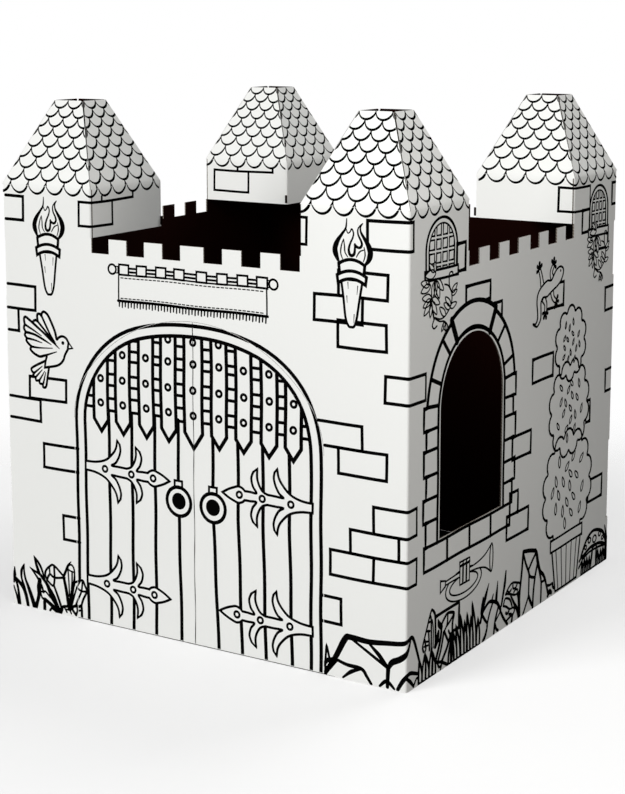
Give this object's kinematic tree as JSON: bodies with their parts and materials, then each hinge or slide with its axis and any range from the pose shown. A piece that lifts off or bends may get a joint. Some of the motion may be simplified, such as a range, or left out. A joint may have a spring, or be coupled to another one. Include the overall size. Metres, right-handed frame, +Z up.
{
  "type": "cardboard play castle",
  "caption": "Square play castle of folded white corrugated board with corner towers, scale-tiled roofs, notched parapets, a round-headed window and arched doors that swing open.",
  "frame": {"origin": "middle of the square footprint, on the ground", "axes": "+Z up, the doors face -Y, the window wall faces +X"},
  "size_m": [1.05, 1.05, 1.17],
  "materials": {
    "board": "matte white liner",
    "door_board": "matte white liner"
  },
  "bodies": {
    "castle": {"front_right_walls": "board", "back_left_walls": "board"},
    "left_leaf": {"left_door": "door_board"},
    "right_leaf": {"right_door": "door_board"}
  },
  "joints": [
    {"name": "left_door_hinge", "type": "hinge", "parent": "castle", "child": "left_leaf", "pos_m": [-0.328, -0.525, 0], "axis": [0, 0, -1], "range_deg": [0, 120]},
    {"name": "right_door_hinge", "type": "hinge", "parent": "castle", "child": "right_leaf", "pos_m": [0.328, -0.525, 0], "axis": [0, 0, 1], "range_deg": [0, 120]}
  ]
}
